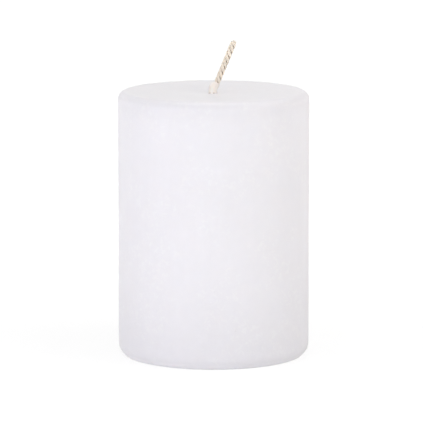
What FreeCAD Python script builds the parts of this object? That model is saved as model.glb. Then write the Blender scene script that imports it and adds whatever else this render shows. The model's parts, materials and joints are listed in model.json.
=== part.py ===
"""Pillar candle for a unity ceremony: a pressed wax core, a hard overdipped coat, and a laid
three-ply cotton wick held by a tinplate sustainer let into the base.

Units are millimetres.  The origin is the centre of the foot, +Z runs up the candle and the wick
leans towards +X.  Every driving size is a cell of the spreadsheet Sizes.
"""

import FreeCAD, Part
import math
import os
from types import SimpleNamespace

import Sketcher

# name, value, what it is
DRIVING_SIZES = [
    ("candle_diameter", 72.0, "finished diameter over the coat"),
    ("candle_height", 100.0, "foot to top face"),
    ("rim_radius", 3.0, "rounding of the top edge"),
    ("foot_radius", 3.5, "rounding of the bottom edge"),
    ("side_coat_thickness", 2.5, "overdipped wax on the side"),
    ("top_coat_thickness", 2.5, "overdipped wax on the top"),
    ("base_coat_thickness", 2.2, "overdipped wax under the core"),
    ("base_opening_diameter", 27.0, "clearing in the coat round the sustainer"),
    ("opening_bevel", 0.7, "bevel at the mouth of that clearing"),
    ("core_bevel", 1.2, "bevel that the press leaves on both ends of the core"),
    ("wick_offset", 0.2, "how far the wick stands off the candle's axis, towards -X"),
    ("wick_diameter", 2.2, "circle round the laid plies"),
    ("wick_lay", 6.4, "length of one turn of the plies"),
    ("ply_gap", 0.02, "clearance between neighbouring plies"),
    ("wick_fit", 0.03, "radial clearance of the wick in wax and metal"),
    ("laid_depth", 3.0, "how far below the top face the plies start to turn"),
    ("wick_free_length", 20.5, "wick above the top face, along its centre line"),
    ("wick_lean", 22.5, "lean of the free wick from vertical, in degrees"),
    ("wick_bend_radius", 3.0, "bend of the wick where it leaves the top face"),
    ("sleeve_length", 1.8, "wax drawn up the wick, measured along it past the bend"),
    ("sleeve_wall", 0.6, "thickness of that wax"),
    ("sleeve_flare", 0.4, "how far that wax spreads over the top face"),
    ("sleeve_rounding", 0.45, "rounding of that wax where it ends on the wick"),
    ("sustainer_diameter", 20.0, "tinplate disc"),
    ("sheet_thickness", 0.3, "tinplate"),
    ("disc_edge_drop", 0.5, "how far the disc's edge is turned down below its underside"),
    ("neck_height", 6.0, "drawn neck above the disc"),
    ("neck_gap", 0.25, "radial room for the wick in the lower neck"),
    ("swage_height", 1.5, "top of the neck, closed in on the wick"),
    ("draw_bevel", 0.5, "bevel where the disc turns into the neck"),
    ("neck_fit", 0.05, "clearance of the neck in the core"),
]

PLY_COUNT = 3
PLY_SIDES = 9  # sides of the section drawn for one ply
SECTIONS_PER_TURN = 9  # sections drawn along one turn of the lay

SKETCH_ORIGIN = (-1, 1)  # the geometry and point numbers that Sketcher gives a sketch's origin


class Size:
    """A number together with the spreadsheet formula that gives it."""

    def __init__(self, value, formula):
        self.value = float(value)
        self.formula = formula

    def __add__(self, other):
        return Size(self.value + other.value, f"({self.formula} + {other.formula})")

    def __sub__(self, other):
        return Size(self.value - other.value, f"({self.formula} - {other.formula})")

    def half(self):
        return Size(self.value / 2, f"({self.formula} / 2)")


ZERO = Size(0.0, "0")


def make_sizes(doc):
    """Writes the driving sizes to the spreadsheet and returns them with the sizes they give."""
    sheet = doc.addObject("Spreadsheet::Sheet", "Sizes")
    size = SimpleNamespace()
    for row, (name, value, meaning) in enumerate(DRIVING_SIZES, start=1):
        sheet.set(f"A{row}", name)
        sheet.set(f"B{row}", str(value))
        sheet.setAlias(f"B{row}", name)
        sheet.set(f"C{row}", meaning)
        setattr(size, name, Size(value, f"Sizes.{name}"))
    doc.recompute()

    size.candle_radius = size.candle_diameter.half()
    size.core_radius = size.candle_radius - size.side_coat_thickness
    size.core_bottom = size.base_coat_thickness
    size.core_top = size.candle_height - size.top_coat_thickness
    size.opening_radius = size.base_opening_diameter.half()
    size.wick_radius = size.wick_diameter.half()
    size.wick_hole_radius = size.wick_radius + size.wick_fit
    size.disc_radius = size.sustainer_diameter.half()
    size.disc_top = size.core_bottom
    size.disc_underside = size.disc_top - size.sheet_thickness
    size.neck_inner_radius = size.wick_radius + size.neck_gap
    size.neck_outer_radius = size.neck_inner_radius + size.sheet_thickness
    size.neck_pocket_radius = size.neck_outer_radius + size.neck_fit
    return size


# ---------------------------------------------------------------- sketches and features

def bind(feature, path, size):
    """Ties one property of a feature to its spreadsheet formula."""
    feature.setExpression(path, size.formula)


def new_body(doc, label):
    body = doc.addObject("PartDesign::Body", label)
    body.Label = label
    return body


def new_sketch(body, name, role, offset=ZERO, height=ZERO):
    """A sketch on one of the body's origin planes, moved offset towards -X and raised by height."""
    sketch = body.newObject("Sketcher::SketchObject", name)
    plane = next(f for f in body.Origin.OriginFeatures if f.Role == role)
    sketch.AttachmentSupport = [(plane, "")]
    sketch.MapMode = "FlatFace"
    bind(sketch, "AttachmentOffset.Base.x", ZERO - offset)
    bind(sketch, "AttachmentOffset.Base.z", height)
    return sketch


def add_sized(sketch, name, size, kind, *where):
    """Adds a dimension to a sketch and ties it to its formula."""
    value = math.radians(size.value) if kind == "Angle" else size.value
    index = sketch.addConstraint(Sketcher.Constraint(kind, *where, value))
    sketch.renameConstraint(index, name)
    bind(sketch, f"Constraints.{name}", size)


def circle_sketch(body, name, radius, height=ZERO, offset=ZERO):
    """A circle on a level plane, about the candle's axis or an axis offset from it."""
    sketch = new_sketch(body, name, "XY_Plane", offset, height)
    centre = FreeCAD.Vector(0, 0, 0)
    up = FreeCAD.Vector(0, 0, 1)
    sketch.addGeometry(Part.Circle(centre, up, radius.value), False)
    sketch.addConstraint(Sketcher.Constraint("Coincident", 0, 3, *SKETCH_ORIGIN))
    add_sized(sketch, "circle_radius", radius, "Radius", 0)
    return sketch


def profile_sketch(body, name, corners, offset=ZERO):
    """A closed outline of straight sides in the XZ plane, through (radius, height) corners."""
    sketch = new_sketch(body, name, "XZ_Plane", offset)
    points = [FreeCAD.Vector(radius.value, height.value, 0) for radius, height in corners]
    following = points[1:] + points[:1]
    for start, end in zip(points, following):
        sketch.addGeometry(Part.LineSegment(start, end), False)
    for side in range(len(corners)):
        next_side = (side + 1) % len(corners)
        sketch.addConstraint(Sketcher.Constraint("Coincident", side, 2, next_side, 1))
    for side, (radius, height) in enumerate(corners):
        add_sized(sketch, f"radius{side}", radius, "DistanceX", *SKETCH_ORIGIN, side, 1)
        add_sized(sketch, f"height{side}", height, "DistanceY", *SKETCH_ORIGIN, side, 1)
    return sketch


def wick_line_sketch(body, size):
    """The wick's centre line: up through the top coat, round the bend and along the sleeve."""
    sketch = new_sketch(body, "wick_line", "XZ_Plane", size.wick_offset)
    face = size.candle_height.value
    radius = size.wick_bend_radius.value
    lean = math.radians(size.wick_lean.value)
    low = FreeCAD.Vector(0, size.core_top.value, 0)
    bend_start = FreeCAD.Vector(0, face, 0)
    bend_centre = FreeCAD.Vector(radius, face, 0)
    bend_end = bend_centre + FreeCAD.Vector(-math.cos(lean), math.sin(lean), 0) * radius
    along = FreeCAD.Vector(math.sin(lean), math.cos(lean), 0)
    sleeve_end = bend_end + along * size.sleeve_length.value
    circle = Part.Circle(bend_centre, FreeCAD.Vector(0, 0, 1), radius)
    sketch.addGeometry(Part.LineSegment(low, bend_start), False)
    sketch.addGeometry(Part.ArcOfCircle(circle, math.pi - lean, math.pi), False)
    sketch.addGeometry(Part.LineSegment(bend_end, sleeve_end), False)
    sketch.addConstraint(Sketcher.Constraint("Vertical", 0))
    sketch.addConstraint(Sketcher.Constraint("PointOnObject", 0, 1, -2))
    sketch.addConstraint(Sketcher.Constraint("Tangent", 0, 2, 1, 2))
    sketch.addConstraint(Sketcher.Constraint("Tangent", 1, 1, 2, 1))
    add_sized(sketch, "foot_height", size.core_top, "DistanceY", *SKETCH_ORIGIN, 0, 1)
    add_sized(sketch, "face_height", size.candle_height, "DistanceY", *SKETCH_ORIGIN, 0, 2)
    add_sized(sketch, "bend_radius", size.wick_bend_radius, "Radius", 1)
    add_sized(sketch, "lean", size.wick_lean, "Angle", 1)
    add_sized(sketch, "sleeve_length", size.sleeve_length, "Distance", 2)
    return sketch


def sleeve_end_height(size):
    """Height of the point where the wax sleeve ends on the wick's centre line."""
    lean = math.radians(size.wick_lean.value)
    bend_rise = size.wick_bend_radius.value * math.sin(lean)
    straight_rise = size.sleeve_length.value * math.cos(lean)
    formula = ("Sizes.candle_height + Sizes.wick_bend_radius * sin(Sizes.wick_lean * 1 deg)"
               " + Sizes.sleeve_length * cos(Sizes.wick_lean * 1 deg)")
    return Size(size.candle_height.value + bend_rise + straight_rise, formula)


def pad_up(body, name, sketch, length):
    pad = body.newObject("PartDesign::Pad", name)
    pad.Profile = sketch
    bind(pad, "Length", length)
    body.Document.recompute()


def cut_up(body, name, sketch, depth):
    """A pocket cut upwards from its sketch.  Stops the build if it removes nothing."""
    before = body.Shape.Volume
    pocket = body.newObject("PartDesign::Pocket", name)
    pocket.Profile = sketch
    pocket.Reversed = True
    bind(pocket, "Length", depth)
    body.Document.recompute()
    if body.Shape.Volume >= before:
        raise RuntimeError(f"{name} cuts nothing")


def sweep(body, kind, name, sketch, path):
    """An AdditivePipe or a SubtractivePipe of a sketch along a path sketch."""
    feature = body.newObject(f"PartDesign::{kind}", name)
    feature.Profile = sketch
    feature.Spine = path
    body.Document.recompute()


def turn(body, kind, name, sketch):
    """A Revolution or a Groove of a sketch about its own vertical axis."""
    feature = body.newObject(f"PartDesign::{kind}", name)
    feature.Profile = sketch
    feature.ReferenceAxis = (sketch, ["V_Axis"])
    feature.Angle = 360.0
    body.Document.recompute()


def ring_edge(shape, radius, height):
    """The name of the circular edge with that radius, whose centre is at that height."""
    tolerance = 1e-4
    for number, edge in enumerate(shape.Edges, start=1):
        curve = edge.Curve
        if not isinstance(curve, Part.Circle):
            continue
        radius_error = abs(curve.Radius - radius.value)
        height_error = abs(curve.Center.z - height.value)
        if max(radius_error, height_error) < tolerance:
            return f"Edge{number}"
    raise RuntimeError(f"no ring of radius {radius.value} at height {height.value}")


def soften(body, kind, name, size, rings):
    """A Fillet or a Chamfer on the circular edges that rings gives as (radius, height)."""
    base = body.Tip
    names = [ring_edge(base.Shape, radius, height) for radius, height in rings]
    feature = body.newObject(f"PartDesign::{kind}", name)
    feature.Base = (base, names)
    bind(feature, {"Fillet": "Radius", "Chamfer": "Size"}[kind], size)
    body.Document.recompute()


# ---------------------------------------------------------------- wax and tinplate

def make_core(doc, size):
    """Pressed core: a bevelled billet with the wick's bore and a pocket for the sustainer's neck."""
    body = new_body(doc, "wax_core")
    height = size.core_top - size.core_bottom
    outline = circle_sketch(body, "billet_outline", size.core_radius, size.core_bottom)
    pad_up(body, "billet", outline, height)
    ends = [(size.core_radius, size.core_bottom), (size.core_radius, size.core_top)]
    soften(body, "Chamfer", "pressed_bevels", size.core_bevel, ends)

    bore = circle_sketch(body, "wick_bore_outline", size.wick_hole_radius, size.core_bottom,
                         size.wick_offset)
    cut_up(body, "wick_bore", bore, height)

    pocket = circle_sketch(body, "neck_pocket_outline", size.neck_pocket_radius, size.core_bottom,
                           size.wick_offset)
    cut_up(body, "neck_pocket", pocket, size.neck_height + size.neck_fit)
    mouth = [(size.neck_pocket_radius, size.core_bottom)]
    soften(body, "Chamfer", "neck_pocket_mouth", size.draw_bevel, mouth)
    return body


def make_coat(doc, size):
    """Overdipped coat: one skin round the core, open at the wick and round the sustainer."""
    body = new_body(doc, "overdip_coat")
    pad_up(body, "dipped_form", circle_sketch(body, "coat_outline", size.candle_radius),
           size.candle_height)
    rim = [(size.candle_radius, size.candle_height)]
    soften(body, "Fillet", "round_rim", size.rim_radius, rim)
    soften(body, "Fillet", "round_foot", size.foot_radius, [(size.candle_radius, ZERO)])

    wick_line = wick_line_sketch(body, size)
    sleeve_radius = size.wick_hole_radius + size.sleeve_wall
    sleeve = circle_sketch(body, "sleeve_outline", sleeve_radius, size.core_top, size.wick_offset)
    sweep(body, "AdditivePipe", "wax_sleeve", sleeve, wick_line)
    sleeve_foot = [(sleeve_radius, size.candle_height)]
    soften(body, "Fillet", "wax_meniscus", size.sleeve_flare, sleeve_foot)
    sleeve_end = [(sleeve_radius, sleeve_end_height(size))]
    soften(body, "Fillet", "round_sleeve_end", size.sleeve_rounding, sleeve_end)

    ends = [(size.core_radius, size.core_bottom), (size.core_radius, size.core_top)]
    cavity = [(ZERO, size.core_bottom), *ends, (ZERO, size.core_top)]
    turn(body, "Groove", "core_cavity", profile_sketch(body, "core_cavity_outline", cavity))
    soften(body, "Chamfer", "cavity_bevels", size.core_bevel, ends)

    hole = circle_sketch(body, "wick_hole_outline", size.wick_hole_radius, size.core_top,
                         size.wick_offset)
    sweep(body, "SubtractivePipe", "wick_hole", hole, wick_line)
    opening = circle_sketch(body, "base_opening_outline", size.opening_radius)
    cut_up(body, "base_opening", opening, size.core_bottom)
    mouth = [(size.opening_radius, ZERO)]
    soften(body, "Chamfer", "opening_bevel", size.opening_bevel, mouth)
    return body


def make_sustainer(doc, size):
    """Tinplate sustainer: a disc with a turned-down edge and a drawn neck swaged on the wick."""
    body = new_body(doc, "wick_sustainer")
    edge_inner = size.disc_radius - size.sheet_thickness
    edge_bottom = size.disc_underside - size.disc_edge_drop
    neck_top = size.disc_top + size.neck_height
    swage_bottom = neck_top - size.swage_height
    profile = [
        (size.neck_inner_radius, size.disc_underside),
        (edge_inner, size.disc_underside),
        (edge_inner, edge_bottom),
        (size.disc_radius, edge_bottom),
        (size.disc_radius, size.disc_top),
        (size.neck_outer_radius, size.disc_top),
        (size.neck_outer_radius, swage_bottom),
        (size.wick_hole_radius + size.sheet_thickness, neck_top),
        (size.wick_hole_radius, neck_top),
        (size.neck_inner_radius, swage_bottom),
    ]
    plate = profile_sketch(body, "plate_profile", profile, size.wick_offset)
    turn(body, "Revolution", "drawn_plate", plate)
    root = [(size.neck_outer_radius, size.disc_top)]
    soften(body, "Chamfer", "neck_root", size.draw_bevel, root)
    mouth = [(size.neck_inner_radius, size.disc_underside)]
    soften(body, "Chamfer", "neck_mouth", size.draw_bevel, mouth)
    edge = [(size.disc_radius, size.disc_top)]
    soften(body, "Chamfer", "turned_edge", size.sheet_thickness, edge)
    return body


# ---------------------------------------------------------------- the wick

def wick_station(size, distance):
    """Centre and lean of the wick at a distance along it from its lower end.

    The wick runs straight up to the top face, bends towards +X and ends straight.
    """
    foot = size.disc_underside.value
    face = size.candle_height.value
    bend_radius = size.wick_bend_radius.value
    above_face = max(distance - (face - foot), 0.0)
    lean = min(above_face / bend_radius, math.radians(size.wick_lean.value))
    past_bend = above_face - bend_radius * lean
    across = bend_radius * (1 - math.cos(lean)) + past_bend * math.sin(lean)
    height = bend_radius * math.sin(lean) + past_bend * math.cos(lean)
    height += min(foot + distance, face)
    return FreeCAD.Vector(across - size.wick_offset.value, 0, height), lean


def ply_section(size, distance, turned):
    """The section of one ply, square to the wick at that distance.

    turned is the ply's place round the wick, in radians.  The plies clear each other by ply_gap
    and lie within the circle of wick_diameter.  A ply runs straight from one section to the next,
    and half-way between two sections all plies are nearer the wick's centre by chord_sag.
    """
    chord_sag = math.cos(math.pi / SECTIONS_PER_TURN)
    packing = math.sin(math.pi / PLY_COUNT) * chord_sag
    wick_radius = size.wick_radius.value
    ply_radius = (wick_radius * packing - size.ply_gap.value / 2) / (1 + packing)
    offset = wick_radius - ply_radius

    wick_centre, lean = wick_station(size, distance)
    towards_lean = FreeCAD.Vector(math.cos(lean), 0, -math.sin(lean))
    sideways = FreeCAD.Vector(0, 1, 0)

    def around(centre, radius, angle):
        return centre + towards_lean * (radius * math.cos(angle)) + sideways * (
            radius * math.sin(angle))

    ply_centre = around(wick_centre, offset, turned)
    angles = [2 * math.pi * side / PLY_SIDES for side in range(PLY_SIDES + 1)]
    return Part.makePolygon([around(ply_centre, ply_radius, angle) for angle in angles])


def ply_shape(size, index):
    """One ply: straight inside the candle, then laid left-handed from laid_depth to the tip."""
    top_face = size.candle_height.value - size.disc_underside.value
    laid_from = top_face - size.laid_depth.value
    tip = top_face + size.wick_free_length.value
    turns = (tip - laid_from) / size.wick_lay.value
    steps = math.ceil(turns * SECTIONS_PER_TURN)
    start = 2 * math.pi * index / PLY_COUNT
    sections = [ply_section(size, 0.0, start)]
    for step in range(steps + 1):
        share = step / steps
        distance = laid_from + (tip - laid_from) * share
        sections.append(ply_section(size, distance, start - 2 * math.pi * turns * share))
    return Part.makeLoft(sections, True, True)


def make_plies(doc, size):
    """The plies.  Each is a Part::Feature, because no sketched feature follows a bent helix."""
    plies = []
    for index in range(PLY_COUNT):
        ply = doc.addObject("Part::Feature", f"wick_ply_{index + 1}")
        ply.Shape = ply_shape(size, index)
        plies.append(ply)
    return plies


# ---------------------------------------------------------------- build and write

def check(doc, pieces):
    """Stops the build at a failed feature, an unsolved sketch or a broken solid."""
    for item in doc.Objects:
        if "Invalid" in item.State or "Error" in item.State:
            raise RuntimeError(f"{item.Label} failed: {item.State}")
        if item.TypeId == "Sketcher::SketchObject" and item.solve() != 0:
            raise RuntimeError(f"sketch {item.Label} does not solve")
    for piece in pieces:
        shape = piece.Shape
        if shape.isNull() or not shape.isValid() or shape.Volume <= 0:
            raise RuntimeError(f"{piece.Label} has no valid solid")
        if len(shape.Solids) != 1:
            raise RuntimeError(f"{piece.Label} has {len(shape.Solids)} solids")


def main():
    doc = FreeCAD.newDocument("PillarCandle")
    size = make_sizes(doc)
    pieces = [make_core(doc, size), make_coat(doc, size), make_sustainer(doc, size)]
    pieces += make_plies(doc, size)
    doc.recompute()
    check(doc, pieces)
    os.makedirs("parts", exist_ok=True)
    for piece in pieces:
        piece.Shape.exportStep(f"parts/{piece.Label}.step")
        print(f"{piece.Label}: {piece.Shape.Volume:.2f} mm3, {len(piece.Shape.Faces)} faces")


main()
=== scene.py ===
# %% [markdown]
# # A white unity candle, piece by piece
# A unity candle is the thick candle that a couple lights together at a wedding.  This one is a
# plain white pillar.  Its core is pressed from wax granules round a cotton wick, a tinplate
# sustainer closes the wick's lower end, and a dip in clear hot wax lays a smooth coat over the
# core.  The CAD frame gives the sizes and places of these pieces, and this lesson dresses them.

# %% Load the frame
import json
import math

import bpy
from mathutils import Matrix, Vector


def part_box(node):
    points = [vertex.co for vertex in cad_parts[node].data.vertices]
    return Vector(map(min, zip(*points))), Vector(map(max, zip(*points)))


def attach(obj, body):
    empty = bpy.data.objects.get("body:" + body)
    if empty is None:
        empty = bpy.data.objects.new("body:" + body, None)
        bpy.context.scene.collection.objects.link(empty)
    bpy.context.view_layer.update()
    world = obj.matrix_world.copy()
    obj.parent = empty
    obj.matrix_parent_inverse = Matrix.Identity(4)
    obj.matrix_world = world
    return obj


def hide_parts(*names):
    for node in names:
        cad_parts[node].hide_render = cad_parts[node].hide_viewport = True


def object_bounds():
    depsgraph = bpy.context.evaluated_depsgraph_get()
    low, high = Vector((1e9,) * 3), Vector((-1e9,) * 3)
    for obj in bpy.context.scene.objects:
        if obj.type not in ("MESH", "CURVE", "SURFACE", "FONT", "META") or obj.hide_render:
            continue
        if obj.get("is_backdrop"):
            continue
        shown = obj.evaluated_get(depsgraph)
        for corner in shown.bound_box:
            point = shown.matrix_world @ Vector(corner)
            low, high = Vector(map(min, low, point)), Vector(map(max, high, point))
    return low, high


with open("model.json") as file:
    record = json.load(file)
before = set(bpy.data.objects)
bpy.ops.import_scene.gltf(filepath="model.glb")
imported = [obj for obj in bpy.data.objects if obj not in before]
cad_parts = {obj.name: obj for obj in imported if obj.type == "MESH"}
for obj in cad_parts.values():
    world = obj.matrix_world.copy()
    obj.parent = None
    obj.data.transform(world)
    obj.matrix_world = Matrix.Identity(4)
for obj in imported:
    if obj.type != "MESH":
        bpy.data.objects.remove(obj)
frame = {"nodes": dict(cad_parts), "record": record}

cad_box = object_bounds()
MM = 0.001
print("nodes:", ", ".join(sorted(frame["nodes"])))

# %% [markdown]
# ## Sizes
# Every main size is read from the frame, so the dressed candle stays as large as the CAD one.
# The holder_cup mount sits half-way up the candle, which gives the height of the top face.  What
# the frame doesn't hold, such as the lay of the wick, is written here in millimetres.

# %% Read the sizes
coat_low, coat_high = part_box("overdip_coat")
core_low, core_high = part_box("wax_core")
plate_low, plate_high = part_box("wick_sustainer")
ply_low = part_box("wick_ply_1")[0]
holder_cup = next(m for m in frame["record"]["mounts"] if m["name"] == "holder_cup")

CANDLE_RADIUS = (coat_high.x - coat_low.x) / 2 / MM
TOP_FACE = 2 * holder_cup["pos_m"][2] / MM
CORE_RADIUS = (core_high.x - core_low.x) / 2 / MM
CORE_BOTTOM = core_low.z / MM
CORE_TOP = core_high.z / MM
PLATE_RADIUS = (plate_high.x - plate_low.x) / 2 / MM
PLATE_EDGE = plate_low.z / MM
NECK_TOP = plate_high.z / MM
WICK_X = (plate_high.x + plate_low.x) / 2 / MM
WICK_FOOT = ply_low.z / MM

RIM_RADIUS = 3.0
FOOT_RADIUS = 3.5
PRESS_BEVEL = 1.2
OPENING_RADIUS = 13.5
OPENING_BEVEL = 0.7
SHEET = 0.3
WICK_RADIUS = 1.1
WICK_HOLE_RADIUS = 1.13
WICK_LAY = 6.4
LAID_FROM = 97.0
FREE_LENGTH = 20.3
BEND_RADIUS = 3.0
LEAN = math.radians(22.5)
SLEEVE_TOP = TOP_FACE + BEND_RADIUS * LEAN + 1.8
WICK_TIP = TOP_FACE + FREE_LENGTH
print(f"candle {2 * CANDLE_RADIUS:.1f} across, {TOP_FACE:.1f} high, wick at x {WICK_X:.2f}")

# %% [markdown]
# ## A small language for node trees
# Shaders and geometry are both made of nodes.  A few helpers keep the trees readable: `place`
# adds a node and feeds it, and a `Wire` is a node's output that can be added and multiplied,
# which places the Math nodes by itself.

# %% Wires and nodes
class Wire:
    """A node's output.  Arithmetic on it places a Math node in the same tree."""

    def __init__(self, socket):
        self.socket = socket
        self.tree = socket.node.id_data

    def __add__(self, other):
        return calculate("ADD", self, other)

    def __sub__(self, other):
        return calculate("SUBTRACT", self, other)

    def __rsub__(self, other):
        return calculate("SUBTRACT", other, self)

    def __mul__(self, other):
        return calculate("MULTIPLY", self, other)

    def __truediv__(self, other):
        return calculate("DIVIDE", self, other)

    def __rtruediv__(self, other):
        return calculate("DIVIDE", other, self)

    __radd__ = __add__
    __rmul__ = __mul__


def feed(socket, value):
    """Links a wire to a socket, or writes a plain value on it."""
    if isinstance(value, Wire):
        value.tree.links.new(value.socket, socket)
    else:
        socket.default_value = value


def place(tree, kind, inputs=(), **settings):
    """Adds a node with its settings and feeds its inputs, given by name or by number."""
    node = tree.nodes.new(kind)
    for name, value in settings.items():
        setattr(node, name, value)
    for key, value in dict(inputs).items():
        feed(node.inputs[key], value)
    return node


def out(node, key=0):
    return Wire(node.outputs[key])


def tree_of(values):
    """The tree of the first wire among some values."""
    return next(v.tree for v in values if isinstance(v, Wire))


def calculate(operation, *values):
    return out(place(tree_of(values), "ShaderNodeMath", enumerate(values), operation=operation))


# %% Numbers, points and fades
def point(*xyz):
    """Joins three numbers into a point."""
    return out(place(tree_of(xyz), "ShaderNodeCombineXYZ", enumerate(xyz)))


def split(position):
    """A point's x, y and z."""
    node = place(position.tree, "ShaderNodeSeparateXYZ", {0: position})
    return out(node, 0), out(node, 1), out(node, 2)


def stretch(position, by):
    """A point with each of its numbers multiplied by its own factor."""
    return out(place(position.tree, "ShaderNodeVectorMath", {0: position, 1: by},
                     operation="MULTIPLY"))


def scaled(vector, by):
    """A point or a colour, all of it multiplied by one number."""
    return out(place(vector.tree, "ShaderNodeVectorMath", {0: vector, "Scale": by},
                     operation="SCALE"))


def fade(value, nothing_at, full_at):
    """Runs smoothly from 0 to 1 while the value goes from one number to the other."""
    return out(place(value.tree, "ShaderNodeMapRange",
                     {"Value": value, "From Min": nothing_at, "From Max": full_at},
                     interpolation_type="SMOOTHSTEP"))


def reach(x, y):
    """How far a point is from the upright axis through zero."""
    return calculate("SQRT", x * x + y * y)


def haze(position, scale, detail, bent=0.0):
    """Soft noise between 0 and 1."""
    return out(place(position.tree, "ShaderNodeTexNoise", {
        "Vector": position, "Scale": scale, "Detail": detail, "Distortion": bent}))


def noise(position, size, detail):
    """Soft noise round zero, with bumps about as large as size."""
    return haze(position, 1.0 / size, detail) - 0.5


def cells(position, scale, feature="F1"):
    """A texture of cells, about as many to a unit of length as scale says."""
    return place(position.tree, "ShaderNodeTexVoronoi", {"Vector": position, "Scale": scale},
                 feature=feature)


# %% Groups with named inputs
SOCKET_TYPES = {
    "geometry": "NodeSocketGeometry",
    "number": "NodeSocketFloat",
    "count": "NodeSocketInt",
    "point": "NodeSocketVector",
    "material": "NodeSocketMaterial",
}


def new_group(tree_type, name, takes, gives):
    """A node group whose inputs and outputs are given as name: kind."""
    tree = bpy.data.node_groups.new(name, tree_type)
    for in_out, sockets in (("INPUT", takes), ("OUTPUT", gives)):
        for label, kind in sockets.items():
            tree.interface.new_socket(label, in_out=in_out, socket_type=SOCKET_TYPES[kind])
    start = tree.nodes.new("NodeGroupInput")
    end = tree.nodes.new("NodeGroupOutput")
    given = {label: Wire(start.outputs[label]) for label in takes}
    return tree, given, end


def numbers(*labels):
    """Inputs that are all plain numbers."""
    return dict.fromkeys(labels, "number")


def use(group, **inputs):
    """Places a group beside what feeds it and returns its first output."""
    tree = tree_of(inputs.values())
    named = {label.replace("_", " "): value for label, value in inputs.items()}
    return out(place(tree, group.bl_idname.replace("Tree", "Group"), named, node_tree=group))


# %% [markdown]
# ## What the materials share
# White wax looks flat until its small faults are there: cloudy tone where the dip ran thicker,
# frost where crystals reached the surface, and tiny pits where air escaped.  Each fault is a
# shader group that works in millimetres, so that cotton and tinplate can use it as well.

# %% Shader groups: clouds and grain
def make_clouds():
    """A number round 1 that drifts over the surface in clouds."""
    takes = {"Position": "point", **numbers("Size", "Contrast")}
    tree, given, end = new_group("ShaderNodeTree", "clouds", takes, {"Tone": "number"})
    drift = noise(given["Position"], given["Size"], 4.0)
    feed(end.inputs["Tone"], drift * given["Contrast"] * 4.0 + 1.0)
    return tree


def make_grain():
    """A fine height between 0 and 1, drawn out along any axis by a small stretch."""
    takes = {"Position": "point", "Stretch": "point", "Detail": "number"}
    tree, given, end = new_group("ShaderNodeTree", "grain", takes, {"Height": "number"})
    drawn = stretch(given["Position"], given["Stretch"])
    feed(end.inputs["Height"], haze(drawn, 1.0, given["Detail"]))
    return tree


clouds = make_clouds()
grain = make_grain()


# %% Shader groups: frost and pits
def make_frost():
    """Flecks and short arcs that crystals leave on wax: 0 on clear wax, up to 1 on frost."""
    takes = {"Position": "point", **numbers("Size", "Cover")}
    tree, given, end = new_group("ShaderNodeTree", "frost", takes, {"Frost": "number"})
    where = given["Position"]
    cover = 0.25 * given["Cover"]
    patchy = fade(haze(where, 0.06, 2.0), 0.62 - cover, 0.78 - cover)
    flakes = haze(where, 1.0 / given["Size"], 3.0, bent=0.6)
    fleck = fade(flakes, 0.53, 0.66)
    crystals = cells(where, 0.45 / given["Size"])
    off_ring = calculate("ABSOLUTE", out(crystals, "Distance") - 0.42)
    arc = fade(off_ring, 0.10, 0.02) * fade(flakes, 0.47, 0.56)
    feed(end.inputs["Frost"], calculate("MAXIMUM", fleck, arc) * patchy)
    return tree


def make_pits():
    """Small round pits scattered over the surface: 1 in a pit's middle and 0 outside."""
    takes = {"Position": "point", **numbers("Spacing", "Share", "Radius")}
    tree, given, end = new_group("ShaderNodeTree", "pits", takes, {"Pit": "number"})
    spots = cells(given["Position"], 1.0 / given["Spacing"])
    draw = split(out(spots, "Color"))[0]
    chosen = calculate("LESS_THAN", draw, given["Share"])
    distance = out(spots, "Distance") * given["Spacing"]
    feed(end.inputs["Pit"], fade(distance / given["Radius"], 1.0, 0.3) * chosen)
    return tree


frost = make_frost()
pits = make_pits()
print("shader groups:", ", ".join(g.name for g in bpy.data.node_groups))

# %% [markdown]
# ## Starting a material
# Each material starts with one Principled shader and the shaded point in millimetres.  Every
# object sits at the origin, so its Object coordinates are places on the candle itself, and a
# pattern stays put from any side.

# %% A fresh material
def new_material(name):
    """The material, its Principled shader and the shaded point in millimetres."""
    material = bpy.data.materials.new(name)
    material.use_nodes = True
    tree = material.node_tree
    shader = next(n for n in tree.nodes if n.type == "BSDF_PRINCIPLED")
    where = scaled(out(place(tree, "ShaderNodeTexCoord"), "Object"), 1 / MM)
    return material, shader, where


def carried(shader, name):
    """A number that the mesh carries at each point."""
    return out(place(shader.id_data, "ShaderNodeAttribute", attribute_name=name), "Fac")


def tint(share, first, second):
    """Mixes two colours, given as plain colours or wires."""
    def as_colour(value):
        return value if isinstance(value, Wire) else (*value, 1.0)
    node = place(share.tree, "ShaderNodeMix",
                 {0: share, 6: as_colour(first), 7: as_colour(second)}, data_type="RGBA")
    return out(node, 2)


# %% Colour, relief and plain numbers
def paint(shader, colour, tone):
    """Gives the shader a colour, made lighter or darker by a number round 1."""
    feed(shader.inputs["Base Color"], scaled(colour, tone))


def roughen(shader, height, depth):
    """Turns a height into relief, depth being in millimetres."""
    bump = place(shader.id_data, "ShaderNodeBump",
                 {"Height": height, "Distance": depth * MM, "Strength": 1.0})
    feed(shader.inputs["Normal"], out(bump))


def set_plain(shader, **values):
    """Writes values that are the same everywhere on the shader's own sockets."""
    for label, value in values.items():
        shader.inputs[label.replace("_", " ")].default_value = value
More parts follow.
